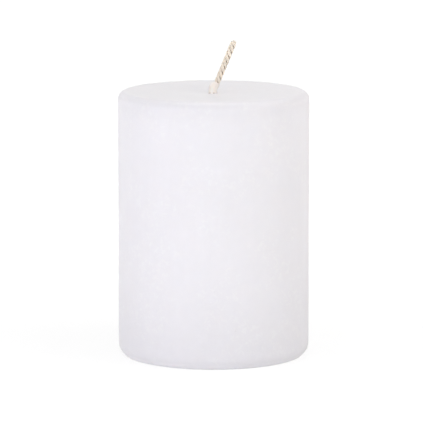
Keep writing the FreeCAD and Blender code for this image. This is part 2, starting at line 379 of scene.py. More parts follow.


# %% [markdown]
# ## Overdipped wax
# The dip is fully refined paraffin.  It dries to a satin white with a cool cast, and each crystal
# that reaches the surface scatters a little more light than clear wax does.  The tone clouds,
# the frost and the faint runs down the side all come from the groups above.  The pits are
# painted a little darker, as shade.  Painted shade darkens the side towards the foot, and painted
# light brightens the lowest strip just above the floor.  Painted shade dims a band below the rim
# and the rim itself, and painted light makes the top face a little whiter.  Height and distance
# from the axis say where, so no picture has to be wrapped round the candle.  Round the wick the
# thin wax takes the cotton's cream, set lighter than the wax as painted light for the shaded
# collar, and two dimples are painted darker as shade, with a painted highlight between them; the
# mesh carries those two numbers, cotton_show and the dimples' number.

# %% Overdipped wax
def make_overdip_wax():
    material, shader, where = new_material("satin_overdip")
    x, y, z = split(where)
    broad = use(clouds, Position=where, Size=24.0, Contrast=0.012)
    small = use(clouds, Position=where, Size=3.5, Contrast=0.008)
    runs = use(grain, Position=where, Stretch=(0.35, 0.35, 0.02), Detail=3.0)
    frosted = use(frost, Position=where, Size=1.5, Cover=0.75)
    pitted = use(pits, Position=where, Spacing=6.0, Share=0.35, Radius=0.32)

    body = tint(frosted * 0.5, (0.900, 0.884, 0.922), (0.945, 0.940, 0.955))
    # The cream round the wick is the cotton through thin wax, set lighter than the wax itself as
    # painted light for the shaded collar.
    warmed = tint(carried(shader, "cotton_show"), body, (1.0, 0.92, 0.845))
    # The pits are painted 5 % darker, as painted shade in their hollows.
    tone = broad * small * (runs * 0.02 + 0.99) * (1.0 - pitted * 0.05)
    # Painted shade: the side is painted darker towards the foot.
    painted_foot_shade = fade(z, 36.0, 4.0) * fade(z, 0.5, 2.5)
    # Painted light: the lowest strip, where the foot turns under into shade, is painted lighter.
    painted_foot_light = fade(z, 2.2, 0.3)
    from_axis = reach(x, y)
    below_face = TOP_FACE - z
    # Painted shade: a band below the rim and the rim's own curve are painted a little darker, which
    # tones down their light.
    edge = fade(below_face, 9.0, 3.0) * fade(below_face, 0.3, 2.0)
    rim = fade(below_face, 3.0, 0.9) * fade(from_axis, 33.0, 34.6)
    # Painted light: the flat top face is painted a little whiter.
    painted_top_light = fade(below_face, 1.2, 0.3) * fade(from_axis, 34.4, 33.2)
    tone = tone * (1.0 - painted_foot_shade * 0.045) * (painted_foot_light * 0.09 + 1.0)
    tone = tone * (1.0 - edge * 0.025) * (1.0 - rim * 0.03) * (painted_top_light * 0.03 + 1.0)
    # The dimples by the wick are painted darker as shade, and the spot between them lighter as a
    # painted highlight.
    paint(shader, warmed, tone * (1.0 - carried(shader, "painted_dimple_shading") * 0.27))

    handled = fade(below_face, 5.0, 1.0) * fade(from_axis, 30.0, 36.0)
    dull = 0.40 + frosted * 0.16 + (runs - 0.5) * 0.10 - handled * 0.05
    feed(shader.inputs["Roughness"], dull)
    skin = use(grain, Position=where, Stretch=(1.1, 1.1, 0.8), Detail=5.0)
    fine = use(grain, Position=where, Stretch=(7.0, 7.0, 7.0), Detail=2.0)
    roughen(shader, skin + fine * 0.18 + frosted * 0.22 - pitted * 1.3 + runs * 0.5, 0.05)
    set_plain(shader, IOR=1.44, Subsurface_Weight=0.2, Subsurface_Radius=(1.0, 0.9, 0.8),
              Subsurface_Scale=0.3 * MM)
    return material


overdip_wax = make_overdip_wax()

# %% [markdown]
# ## Pressed wax
# The core is wax sprayed into granules and pressed cold.  The granules stay visible as rounded
# cells with darker seams between them.  The seams are cut into the mesh further down; here each
# granule gets its own slightly different white, and the surface stays duller than the dip.

# %% Pressed wax
GRANULE = 2.4


def make_pressed_wax():
    material, shader, where = new_material("pressed_granules")
    draw = split(out(cells(where, 1.0 / GRANULE), "Color"))[0]
    seam = fade(out(cells(where, 1.0 / GRANULE, "DISTANCE_TO_EDGE")), 0.14, 0.0)
    dusty = use(frost, Position=where, Size=0.5, Cover=0.9)
    body = tint(draw, (0.885, 0.880, 0.875), (0.925, 0.922, 0.920))
    body = tint(seam * 0.6, body, (0.80, 0.79, 0.78))
    paint(shader, body, use(clouds, Position=where, Size=9.0, Contrast=0.02))
    feed(shader.inputs["Roughness"], 0.58 + dusty * 0.18 + seam * 0.15)
    fine = use(grain, Position=where, Stretch=(5.0, 5.0, 5.0), Detail=4.0)
    roughen(shader, fine * 0.5 + dusty * 0.4 - seam * 0.8, 0.06)
    set_plain(shader, IOR=1.44)
    return material


pressed_wax = make_pressed_wax()

# %% [markdown]
# ## Tinplate
# The sustainer is stamped from thin steel with a skin of tin.  Rolling leaves straight grain
# across the sheet, the punch leaves bright rubbed rings, and splashes of wax dull it in spots.

# %% Tinplate
def make_tinplate():
    material, shader, where = new_material("rolled_tinplate")
    x, y, z = split(where)
    rolled = use(grain, Position=where, Stretch=(0.25, 9.0, 9.0), Detail=3.0)
    from_neck = reach(x - WICK_X, y)
    rings = use(grain, Position=point(from_neck, 0.0, z), Stretch=(6.0, 1.0, 2.0), Detail=2.0)
    spots = use(pits, Position=where, Spacing=2.6, Share=0.4, Radius=0.8)
    rubbed = fade(from_neck, PLATE_RADIUS - 1.2, PLATE_RADIUS - 0.1)
    body = tint(rolled, (0.60, 0.60, 0.59), (0.78, 0.78, 0.765))
    body = tint(spots * 0.35, body, (0.66, 0.645, 0.61))
    body = tint(rubbed * 0.5, body, (0.84, 0.84, 0.83))
    paint(shader, body, use(clouds, Position=where, Size=4.0, Contrast=0.05))
    dull = 0.24 + rolled * 0.16 + rings * 0.08 + spots * 0.20 - rubbed * 0.06
    feed(shader.inputs["Roughness"], dull)
    set_plain(shader, Metallic=1.0)
    roughen(shader, rolled * 0.6 + rings * 0.5 - spots * 0.3, 0.012)
    return material


tinplate = make_tinplate()

# %% [markdown]
# ## Waxed cotton
# A wick is primed: the twisted cotton is pulled through hot wax and stays stiff.  The crests of
# the yarns are cream, and the gaps between them are painted a little darker, as shade.  On the
# side that the wick leans to, away from the main light, the painted shade in the gaps is dark
# brown.  Single fibres show as fine lines along each yarn.  A colour that follows a yarn needs
# places along it and round it, and one that follows the gaps needs the distance from the wick's
# middle, so the mesh will carry those as attributes.

# %% Waxed cotton
def make_waxed_cotton():
    material, shader, where = new_material("primed_cotton")
    on_yarn = point(carried(shader, "along") * 0.9, carried(shader, "around") * 9.0,
                    carried(shader, "strand") * 3.7)
    fibres = use(grain, Position=on_yarn, Stretch=(1.0, 1.0, 1.0), Detail=4.0)
    # Painted shade: the gaps between yarns and plies are painted darker than the crests, and dark
    # brown on the side that the wick leans to, away from the main light; this mask marks that side.
    shaded_side = carried(shader, "painted_shade_side")
    painted_gap_shade = tint(shaded_side, (0.90, 0.79, 0.66), (0.16, 0.105, 0.065))
    crest = fade(carried(shader, "from_centre"), 0.80, 1.09)
    body = tint(crest, painted_gap_shade, (0.975, 0.85, 0.705))
    body = tint(fibres * crest * 0.4, body, (0.98, 0.91, 0.81))
    paint(shader, body, use(clouds, Position=where, Size=2.2, Contrast=0.05))
    waxy = use(frost, Position=where, Size=0.6, Cover=0.8)
    feed(shader.inputs["Roughness"], 0.72 - waxy * 0.2 + (fibres - 0.5) * 0.2)
    roughen(shader, fibres, 0.03)
    set_plain(shader, Sheen_Weight=0.35, Sheen_Roughness=0.5, Subsurface_Weight=0.2,
              Subsurface_Radius=(1.0, 0.8, 0.6), Subsurface_Scale=0.2 * MM)
    return material


waxed_cotton = make_waxed_cotton()
print("materials:", ", ".join(m.name for m in bpy.data.materials))

# %% [markdown]
# ## Running a geometry tree
# A Geometry Nodes tree runs as a modifier.  `grow` sets the tree's named sizes on the modifier,
# lets Blender evaluate the piece, and keeps the result as a plain mesh.

# %% Start and end a geometry tree
def new_tree(name, takes):
    """A geometry tree with its own sizes beside its geometry and its material."""
    tree, given, end = new_group("GeometryNodeTree", name,
                                 {"Geometry": "geometry", **takes, "Material": "material"},
                                 {"Geometry": "geometry"})
    tree.is_modifier = True
    return tree, given, end


def finish_tree(given, end, geometry):
    """Ends a tree: real geometry, smooth shading and one material."""
    tree = geometry.tree
    whole = place(tree, "GeometryNodeRealizeInstances", {0: geometry})
    smooth = place(tree, "GeometryNodeSetShadeSmooth", {0: out(whole)})
    finish = place(tree, "GeometryNodeSetMaterial",
                   {0: out(smooth), "Material": given["Material"]})
    feed(end.inputs["Geometry"], out(finish))


# %% Places and numbers of points
def random_number(tree, low, high, **draw):
    """A number between two others, drawn with a fixed Seed."""
    return out(place(tree, "FunctionNodeRandomValue", {2: low, 3: high, **draw},
                     data_type="FLOAT"), 1)


def own_place(tree):
    """Where each point is."""
    return out(place(tree, "GeometryNodeInputPosition"))


def moved(geometry, **where):
    """Geometry with its points at a new Position, or shifted by an Offset."""
    return out(place(geometry.tree, "GeometryNodeSetPosition", {"Geometry": geometry, **where}))


def marked(geometry, name, value):
    """Geometry whose points carry a number under a name."""
    return out(place(geometry.tree, "GeometryNodeStoreNamedAttribute",
                     {"Geometry": geometry, "Name": name, "Value": value},
                     data_type="FLOAT", domain="POINT"))


# %% Grow a piece with a tree
def add_object(name, data):
    """An object in the scene that holds a mesh, a lamp or a camera."""
    thing = bpy.data.objects.new(name, data)
    bpy.context.scene.collection.objects.link(thing)
    return thing


def grow(piece, tree, sizes):
    """Runs a tree on a piece and keeps what it makes as the piece's mesh."""
    modifier = piece.modifiers.new(tree.name, "NODES")
    modifier.node_group = tree
    for label, value in sizes.items():
        modifier[tree.interface.items_tree[label].identifier] = value
    depsgraph = bpy.context.evaluated_depsgraph_get()
    mesh = bpy.data.meshes.new_from_object(
        piece.evaluated_get(depsgraph), preserve_all_data_layers=True, depsgraph=depsgraph)
    piece.modifiers.remove(modifier)
    piece.data = mesh
    mesh.name = piece.name
    print(f"{piece.name}: {len(mesh.vertices)} points after {tree.name}")


# %% [markdown]
# ## Profiles
# The core, the coat and the sustainer are all round, so each is one profile turned about an
# axis.  A profile is a list of corners: radius, height, rounding and the spacing of points on
# the run that follows.  It is walked up the outside and in over the top, which makes the faces
# point outwards.

# %% Round a profile's corners
DEGREES_PER_POINT = 9.0


def round_corner(here, before, after, rounding):
    """The points of the arc that rounds one corner between its two neighbours."""
    back = (before - here).normalized()
    ahead = (after - here).normalized()
    turn = math.pi - back.angle(ahead)
    cut = rounding * math.tan(turn / 2)
    centre = here + (back + ahead).normalized() * (rounding / math.cos(turn / 2))
    first = here + back * cut - centre
    last = here + ahead * cut - centre
    steps = max(2, round(math.degrees(turn) / DEGREES_PER_POINT))
    shares = [k / steps for k in range(steps + 1)]
    return [centre + (first * math.sin((1 - share) * turn) + last * math.sin(share * turn))
            / math.sin(turn) for share in shares]


def rounded(corners):
    """The points of a closed profile, in millimetres, with its corners rounded."""
    spots = [Vector(corner[:2]) for corner in corners]
    arcs = [round_corner(spots[i], spots[i - 1], spots[(i + 1) % len(spots)], corner[2])
            for i, corner in enumerate(corners)]
    points = []
    for arc, next_arc, corner in zip(arcs, arcs[1:] + arcs[:1], corners):
        run = next_arc[0] - arc[-1]
        parts = max(1, round(run.length / corner[3]))
        points += arc + [arc[-1] + run * (k / parts) for k in range(1, parts)]
    return points


def profile_piece(name, corners):
    """An object that holds a profile as a chain of points, in metres."""
    points = rounded(corners)
    mesh = bpy.data.meshes.new(name)
    mesh.from_pydata([(p.x * MM, 0, p.y * MM) for p in points], [], [])
    print(f"{name}: profile of {len(points)} points")
    return add_object(name, mesh)


# %% [markdown]
# ## Turning a profile
# The tree spreads a grid with one column for each profile point and one row for each step round
# the axis, and moves every grid point to its place.  The wick stands a little off the candle's
# axis, so close to it the rings are centred on the wick, and further out on the candle.

# %% The turning tree
def make_turning():
    takes = {"Around": "count", **numbers("Axis Shift", "Shifted Within", "Centred Beyond")}
    tree, given, end = new_tree("turning", takes)
    size = place(tree, "GeometryNodeAttributeDomainSize", {0: given["Geometry"]})
    columns = out(size, "Point Count")
    grid = place(tree, "GeometryNodeMeshGrid",
                 {"Size X": 1.0, "Size Y": 1.0, "Vertices X": given["Around"] + 1,
                  "Vertices Y": columns + 1})
    x, y, z = split(own_place(tree))
    angle = (x + 0.5) * math.tau
    column = calculate("MODULO", calculate("ROUND", (y + 0.5) * columns), columns)
    taken = place(tree, "GeometryNodeSampleIndex",
                  {"Geometry": given["Geometry"], "Value": own_place(tree), "Index": column},
                  data_type="FLOAT_VECTOR")
    radius, flat, height = split(out(taken))
    shift = given["Axis Shift"] * fade(radius, given["Centred Beyond"], given["Shifted Within"])
    ring = point(radius * calculate("COSINE", angle) + shift,
                 radius * calculate("SINE", angle), height)
    closed = place(tree, "GeometryNodeMergeByDistance",
                   {"Geometry": moved(out(grid), Position=ring), "Distance": 0.001 * MM})
    finish_tree(given, end, out(closed))
    return tree


turning = make_turning()


def turn(piece, around, material, shifted_within, centred_beyond):
    """Turns a profile; the two radii say where its rings go from the wick to the candle."""
    grow(piece, turning, {
        "Around": around, "Axis Shift": WICK_X * MM, "Shifted Within": shifted_within * MM,
        "Centred Beyond": centred_beyond * MM, "Material": material})


# %% [markdown]
# ## The leaning wick
# Everything on the wick is first made upright and then bent the way the wick leans: straight up
# to the top face, through a small arc towards +X, and straight on.  The soft collar also let the
# wick be pushed over a little as it set, which shifts the free end sideways without turning it.
# One node group does that for the cotton, its loose fibres and the wax that touches them.

# %% Bend with the wick
PUSHED = 0.45


def make_lean():
    """Moves an upright place round the wick, in metres from its foot's axis, to its leaning one."""
    tree, given, end = new_group("GeometryNodeTree", "lean_with_wick", {"Upright": "point"},
                                 {"Leaning": "point"})
    across, sideways, height = split(given["Upright"])
    above = calculate("MAXIMUM", height - TOP_FACE * MM, 0.0)
    lean = calculate("MINIMUM", above / (BEND_RADIUS * MM), LEAN)
    past = above - lean * (BEND_RADIUS * MM)
    sine = calculate("SINE", lean)
    cosine = calculate("COSINE", lean)
    centre_x = (1.0 - cosine) * (BEND_RADIUS * MM) + past * sine
    rise = sine * (BEND_RADIUS * MM) + past * cosine
    level = calculate("MINIMUM", height, TOP_FACE * MM)
    pushed = fade(height, TOP_FACE * MM, (TOP_FACE + 2.0) * MM) * (PUSHED * MM)
    x = centre_x + across * cosine + pushed + WICK_X * MM
    z = level + rise - across * sine
    feed(end.inputs["Leaning"], point(x, sideways, z))
    return tree


lean_with_wick = make_lean()

# %% [markdown]
# ## The overdipped coat
# The dip leaves a skin that is round at the rim.  Its foot was rounded too, but the candle was set
# down warm on a hot plate and levelled, so the foot is tighter than the rim.  Round the wick it
# stands up in a collar.  Sculpting could make all that, but nobody could change a size
# afterwards, so a profile holds the round edges and the collar.

# %% The coat's profile
LEVELLED = 2.2
COLLAR_TOP = SLEEVE_TOP + 0.35
COLLAR_FOOT, COLLAR_BELLY, COLLAR_LIP = 1.60, 1.76, 1.24
coat = profile_piece("overdip_coat_wax", [
    (OPENING_RADIUS + OPENING_BEVEL, 0.0, 0.25, 0.8),
    (CANDLE_RADIUS - LEVELLED, 0.0, 0.12, 0.85),
    (CANDLE_RADIUS, LEVELLED * 0.8, FOOT_RADIUS * 1.6, 0.85),
    (CANDLE_RADIUS, TOP_FACE, RIM_RADIUS, 0.75),
    (COLLAR_FOOT, TOP_FACE, 0.35, 0.13),
    (COLLAR_BELLY, SLEEVE_TOP - 0.9, 1.0, 0.13),
    (COLLAR_LIP, COLLAR_TOP, 0.15, 0.08),
    (WICK_HOLE_RADIUS, COLLAR_TOP, 0.04, 0.5),
    (WICK_HOLE_RADIUS, CORE_TOP, 0.1, 3.0),
    (CORE_RADIUS - PRESS_BEVEL, CORE_TOP, 0.1, 0.6),
    (CORE_RADIUS, CORE_TOP - PRESS_BEVEL, 0.1, 4.0),
    (CORE_RADIUS, CORE_BOTTOM + PRESS_BEVEL, 0.1, 0.6),
    (CORE_RADIUS - PRESS_BEVEL, CORE_BOTTOM, 0.1, 3.0),
    (OPENING_RADIUS, CORE_BOTTOM, 0.15, 0.5),
    (OPENING_RADIUS, OPENING_BEVEL, 0.15, 0.5),
])
turn(coat, 270, overdip_wax, shifted_within=3.0, centred_beyond=30.0)

# %% [markdown]
# ## What a lathe can't make
# Dipped wax is never quite true.  Its sides swell slowly, and its top face sinks round the wick.
# A number that runs smoothly from 0 to 1 over a height or a radius says where each of these is
# at work, so they end without an edge.

# %% Swell and sink
def above_face(height, start, end):
    """Fades between two heights that are given in millimetres above the top face."""
    return fade(height, (TOP_FACE + start) * MM, (TOP_FACE + end) * MM)


def make_swell(tree, given, here):
    """A slow wave that pushes the skin in and out, but not the foot or the inside."""
    x, y, z = split(here)
    skin = calculate("MAXIMUM", fade(reach(x, y), 34.0 * MM, 35.0 * MM), above_face(z, -1.2, -0.8))
    off_floor = fade(z, 0.3 * MM, 6.0 * MM)
    slow = noise(stretch(here, (1.0, 1.0, 0.35)), 26.0 * MM, 1.0)
    quick = noise(here, given["Wave Size"], 2.0)
    wave = (slow * 1.6 + quick) * given["Wave Height"] * skin * off_floor
    return scaled(out(place(tree, "GeometryNodeInputNormal")), wave)


def make_sink(given, z, from_wick, outside):
    """How far the top face sinks towards the wick."""
    bowl = fade(from_wick, given["Sink Radius"], 0.0)
    return above_face(z, -1.0, -0.5) * outside * bowl * given["Sink Depth"] * above_face(z, 1.5, 0.2)


# %% [markdown]
# ## The collar
# As the candle is lifted out of the dip, wax runs down the wick and stops in a bead at its foot.
# The bead is thin on the side that the wick leans to, thicker behind and drawn down in front,
# where it ends between two dimples.  The dimples are painted darker, as shade, and the spot
# between them is painted lighter, as a highlight.  The cotton's cream shows through the bead,
# least at the back, where the wax is thickest.

# %% The collar's width
THINNEST = WICK_HOLE_RADIUS + 0.1


def widen_collar(given, across, y, z, from_wick, close):
    """How far the collar's wax stands out from its turned shape."""
    behind = fade(across, 0.3 * MM, -1.6 * MM) * close
    thin = fade(across, 0.3 * MM, 1.4 * MM) * above_face(z, -1.0, -0.5) * close
    skirt = fade(y / from_wick, -0.3, -0.9) * above_face(z, 2.6, 0.0) * close
    to_spare = calculate("MAXIMUM", from_wick - THINNEST * MM, 0.0)
    taken = calculate("MINIMUM", thin * given["Thinned"], to_spare)
    return skirt * given["Front Skirt"] + behind * given["Lean-to"] - taken


# %% Two dimples with painted shade and a painted highlight
def make_dimples(given, angle, z, from_wick, outside):
    """Dimples at the collar's foot, to be painted darker as shade, and a painted highlight between
    them, as two numbers.
    """
    turned = angle - given["Fold Turn"]
    ahead = calculate("COSINE", turned)
    fold = calculate("COSINE", turned * given["Folds"])
    between = calculate("MAXIMUM", fold * -1.0, 0.0)
    near = fade(from_wick, 2.7 * MM, 2.2 * MM) * outside
    level = above_face(z, -0.3, 0.0) * above_face(z, 0.6, 0.25)
    dimple = between * level * near * fade(ahead, 0.80, 0.88)
    # A painted highlight: the spot between the dimples, in front, is painted lighter.
    painted_highlight = fade(ahead, 0.955, 0.995) * near * above_face(z, 1.9, 0.7) * above_face(z, -0.1, 0.4)
    return dimple, painted_highlight


# %% [markdown]
# ## An upright bead on a leaning wick
# The wick leans, and the wax that touches it leans with it.  The bead round it stood still while
# it set, so its outside is upright at the foot and turns into the wick's lean further up.  The
# tree works out both places for each point and mixes them by its distance from the cotton and
# its height.

# %% Lean the inside, not the bead
def settle(tree):
    """Places of points that lean with the wick in the collar and stand upright at its foot."""
    now_x, now_y, now_z = split(own_place(tree))
    across = now_x - WICK_X * MM
    lean_x, lean_y, lean_z = split(use(lean_with_wick, Upright=point(across, now_y, now_z)))
    wick_x = split(use(lean_with_wick, Upright=point(0.0, 0.0, now_z)))[0]
    bead = fade(reach(now_x - wick_x, now_y), 1.0 * MM, 1.9 * MM)
    bead = bead * fade(reach(across, now_y), 1.3 * MM, 1.6 * MM) * above_face(now_z, 4.0, 1.2)
    return point(lean_x + (now_x - lean_x) * bead, lean_y, lean_z + (now_z - lean_z) * bead)


# %% The dipped surface
def make_dipped_surface():
    takes = {"Folds": "count",
             **numbers("Wave Height", "Wave Size", "Sink Depth", "Sink Radius", "Fold Turn",
                       "Fold Depth", "Lean-to", "Thinned", "Front Skirt")}
    tree, given, end = new_tree("dipped_surface", takes)
    here = own_place(tree)
    x, y, z = split(here)
    across = x - WICK_X * MM
    from_wick = reach(across, y)
    outside = fade(from_wick, (WICK_HOLE_RADIUS + 0.005) * MM, (WICK_HOLE_RADIUS + 0.03) * MM)
    close = fade(from_wick, 5.0 * MM, 2.3 * MM) * outside
    dimple, painted_highlight = make_dimples(given, calculate("ARCTAN2", y, across), z, from_wick, outside)
    bulge = widen_collar(given, across, y, z, from_wick, close) - dimple * given["Fold Depth"]
    sunk = make_sink(given, z, from_wick, outside)
    outward = point(across / from_wick * bulge, y / from_wick * bulge, sunk * -1.0)
    offset = place(tree, "ShaderNodeVectorMath", {0: make_swell(tree, given, here), 1: outward},
                   operation="ADD")

    behind = fade(across / from_wick, -0.4, -1.0)
    show = above_face(z, -0.2, 0.5) * fade(from_wick, 3.2 * MM, 1.9 * MM) * (behind * -0.6 + 0.95)
    stained = marked(given["Geometry"], "cotton_show", show)
    # The dimples' number carries painted shade in the dimples and a painted highlight between them.
    dotted = marked(stained, "painted_dimple_shading", dimple - painted_highlight * 0.4)
    shaped = moved(dotted, Offset=out(offset))
    finish_tree(given, end, moved(shaped, Position=settle(tree)))
    return tree


grow(coat, make_dipped_surface(), {
    "Wave Height": 0.05 * MM, "Wave Size": 7.0 * MM, "Sink Depth": 0.9 * MM,
    "Sink Radius": 18.0 * MM, "Folds": 12, "Fold Turn": math.radians(-100.5),
    "Fold Depth": 0.22 * MM, "Lean-to": 0.10 * MM, "Thinned": 0.55 * MM, "Front Skirt": 1.2 * MM,
    "Material": overdip_wax})

# %% [markdown]
# ## The pressed core
# The press leaves the granules as shallow rounded cells.  A Voronoi texture divides space the
# same way, and its distance to the nearest seam says how deep to cut.  The seams only go inwards,
# so the core still fits inside its coat.

# %% The core
NECK_BORE = 1.35
NECK_FIT = 0.05
NECK_POCKET = NECK_BORE + SHEET + NECK_FIT
POCKET_BEVEL = 0.5
core = profile_piece("pressed_core", [
    (NECK_POCKET + POCKET_BEVEL, CORE_BOTTOM, 0.1, 0.5),
    (CORE_RADIUS - PRESS_BEVEL, CORE_BOTTOM, 0.2, 0.6),
    (CORE_RADIUS, CORE_BOTTOM + PRESS_BEVEL, 0.2, 0.8),
    (CORE_RADIUS, CORE_TOP - PRESS_BEVEL, 0.2, 0.6),
    (CORE_RADIUS - PRESS_BEVEL, CORE_TOP, 0.2, 0.8),
    (WICK_HOLE_RADIUS, CORE_TOP, 0.1, 6.0),
    (WICK_HOLE_RADIUS, NECK_TOP + NECK_FIT, 0.1, 0.5),
    (NECK_POCKET, NECK_TOP + NECK_FIT, 0.1, 1.0),
    (NECK_POCKET, CORE_BOTTOM + POCKET_BEVEL, 0.1, 0.4),
])
turn(core, 300, pressed_wax, shifted_within=3.0, centred_beyond=30.0)


def make_pressed_surface():
    tree, given, end = new_tree("pressed_surface", numbers("Granule", "Seam Depth"))
    here = own_place(tree)
    seam = fade(out(cells(here, 1.0 / given["Granule"], "DISTANCE_TO_EDGE")), 0.30, 0.0)
    x, y, z = split(here)
    away = fade(reach(x - WICK_X * MM, y), 1.9 * MM, 2.6 * MM)
    cut = seam * given["Seam Depth"] * away * -1.0
    inwards = scaled(out(place(tree, "GeometryNodeInputNormal")), cut)
    finish_tree(given, end, moved(given["Geometry"], Offset=inwards))
    return tree


grow(core, make_pressed_surface(), {
    "Granule": GRANULE * MM, "Seam Depth": 0.35 * MM, "Material": pressed_wax})

# %% [markdown]
# ## The sustainer
# A press draws the neck out of a tinplate disc and turns its edge down, so the profile is one
# sheet of even thickness with round bends.  Crimping closes the neck on the wick with three
# dents, and a last small tree makes them.

# %% The sustainer
SWAGE = NECK_TOP - 1.5
RING_DEPTH = 0.18
RING = [(5.2, 0.0), (5.6, RING_DEPTH), (6.6, RING_DEPTH), (7.0, 0.0)]


def pressed_ring(level, ring, spacings):
    """The ring that stiffens the disc, on one side of the sheet."""
    return [(radius, level - depth, 0.3, spacing)
            for (radius, depth), spacing in zip(ring, spacings)]


under_disc = CORE_BOTTOM - SHEET
sustainer = profile_piece("tin_sustainer", [
    (NECK_BORE, under_disc, 0.55, 0.2),
    *pressed_ring(under_disc, RING, (0.12, 0.3, 0.12, 0.2)),
    (PLATE_RADIUS - SHEET, under_disc, 0.14, 0.15),
    (PLATE_RADIUS - SHEET, PLATE_EDGE, 0.06, 0.06),
    (PLATE_RADIUS, PLATE_EDGE, 0.08, 0.15),
    (PLATE_RADIUS, CORE_BOTTOM, 0.38, 0.2),
    *pressed_ring(CORE_BOTTOM, reversed(RING), (0.12, 0.3, 0.12, 0.2)),
    (NECK_BORE + SHEET, CORE_BOTTOM, 0.3, 0.3),
    (NECK_BORE + SHEET, SWAGE, 0.3, 0.15),
    (WICK_HOLE_RADIUS + SHEET, NECK_TOP, 0.06, 0.05),
    (WICK_HOLE_RADIUS, NECK_TOP, 0.06, 0.15),
    (NECK_BORE, SWAGE, 0.3, 0.3),
])
turn(sustainer, 240, tinplate, shifted_within=50.0, centred_beyond=60.0)


def make_crimps():
    tree, given, end = new_tree("crimps", {"Dents": "count", **numbers("Depth", "Height")})
    x, y, z = split(own_place(tree))
    across = x - WICK_X * MM
    from_wick = reach(across, y)
    angle = calculate("ARCTAN2", y, across)
    level = fade(calculate("ABSOLUTE", z - given["Height"]), 0.9 * MM, 0.2 * MM)
    between = calculate("COSINE", angle * given["Dents"]) * 0.5 + 0.5
    dent = between * between * level * given["Depth"] * fade(from_wick, 2.4 * MM, 1.8 * MM)
    inwards = point(across / from_wick * dent * -1.0, y / from_wick * dent * -1.0, 0.0)
    finish_tree(given, end, moved(given["Geometry"], Offset=inwards))
    return tree


grow(sustainer, make_crimps(), {
    "Dents": 3, "Depth": 0.16 * MM, "Height": (SWAGE - 1.3) * MM, "Material": tinplate})

# %% [markdown]
# ## The laid wick
# Three plies are laid round each other like a rope, and each ply is a bundle of cotton yarns
# twisted the other way, which keeps the wick from unwinding.  A bump texture on a rod would look
# right only from afar, so one tree makes a ply from real yarns.  It copies an upright line once
# for each yarn and twice for the ply's heart, and gives each copy a number.

# %% Copy a line for each yarn
def make_strands(tree, given):
    line = place(tree, "GeometryNodeMeshLine",
                 {"Count": given["Steps"], "Start Location": (0.0, 0.0, 0.0),
                  "Offset": (0.0, 0.0, 1.0)}, mode="END_POINTS", count_mode="TOTAL")
    curve = place(tree, "GeometryNodeMeshToCurve", {0: out(line)})
    copies = place(tree, "GeometryNodeDuplicateElements",
                   {"Geometry": out(curve), "Amount": given["Yarns"] + 2}, domain="SPLINE")
    return marked(out(copies), "strand", out(copies, "Duplicate Index") * 1.0)


# %% [markdown]
# ## Winding
# A yarn goes round its ply while the ply goes round the wick.  Inside the candle the wax holds
# the plies tight, above the collar they spring apart by a tenth of a millimetre, and the last
# millimetre is pinched round by the fingers that trimmed the wick.

# %% Wind the yarns and the ply
def pinched(height):
    """The share of its width that the wick keeps at a height."""
    return 1.0 - fade(height, (WICK_TIP - 1.2) * MM, (WICK_TIP - 0.1) * MM) * 0.35


def wind(given, strand, is_yarn, height, wobble):
    """Where a strand's point goes, round its ply and round the wick."""
    laid = calculate("MAXIMUM", height - LAID_FROM * MM, 0.0)
    ply_turn = given["Ply Angle"] - laid / given["Lay"] * math.tau
    yarn_share = (strand - 2.0) / given["Yarns"]
    yarn_turn = (yarn_share + height / given["Yarn Lay"]) * math.tau
    swing = (given["Yarn Offset"] + wobble) * is_yarn * pinched(height)
    freed = fade(height, SLEEVE_TOP * MM, (SLEEVE_TOP + 2.0) * MM) * given["Spring"]
    heart_in = (1.0 - is_yarn) * given["Heart Inwards"]
    out_from_wick = (given["Ply Offset"] + freed * is_yarn - heart_in) * pinched(height)
    out_from_wick = out_from_wick + swing * calculate("COSINE", yarn_turn)
    heart_side = (strand * 2.0 - 1.0) * given["Heart Offset"] * (1.0 - is_yarn)
    along_ring = swing * calculate("SINE", yarn_turn) * given["Pressed Wide"] + heart_side
    cosine = calculate("COSINE", ply_turn)
    sine = calculate("SINE", ply_turn)
    return point(out_from_wick * cosine - along_ring * sine,
                 out_from_wick * sine + along_ring * cosine, height)


# %% [markdown]
# ## Yarns and loose fibres
# A small ring swept along each line makes the yarn, thicker and thinner by turns.  Short bowed
# hairs stand on the outermost yarns only, and only above the wax, which lays the others flat.

# %% Sweep the yarns
YARN_SIDES = 7


def make_yarns(tree, given, wound, is_yarn, share, height, plump):
    circle = place(tree, "GeometryNodeCurvePrimitiveCircle",
                   {"Resolution": YARN_SIDES, "Radius": 1.0})
    ring = marked(out(circle), "around", out(place(tree, "GeometryNodeInputIndex")) / YARN_SIDES)
    blunt = fade(share, 1.0, 0.9975) * 0.6 + 0.4
    yarn_radius = given["Yarn Radius"] * is_yarn + given["Heart Radius"] * (1.0 - is_yarn)
    return out(place(tree, "GeometryNodeCurveToMesh",
                     {"Curve": marked(wound, "along", height / MM), "Profile Curve": ring,
                      "Scale": yarn_radius * plump * blunt, "Fill Caps": True}))


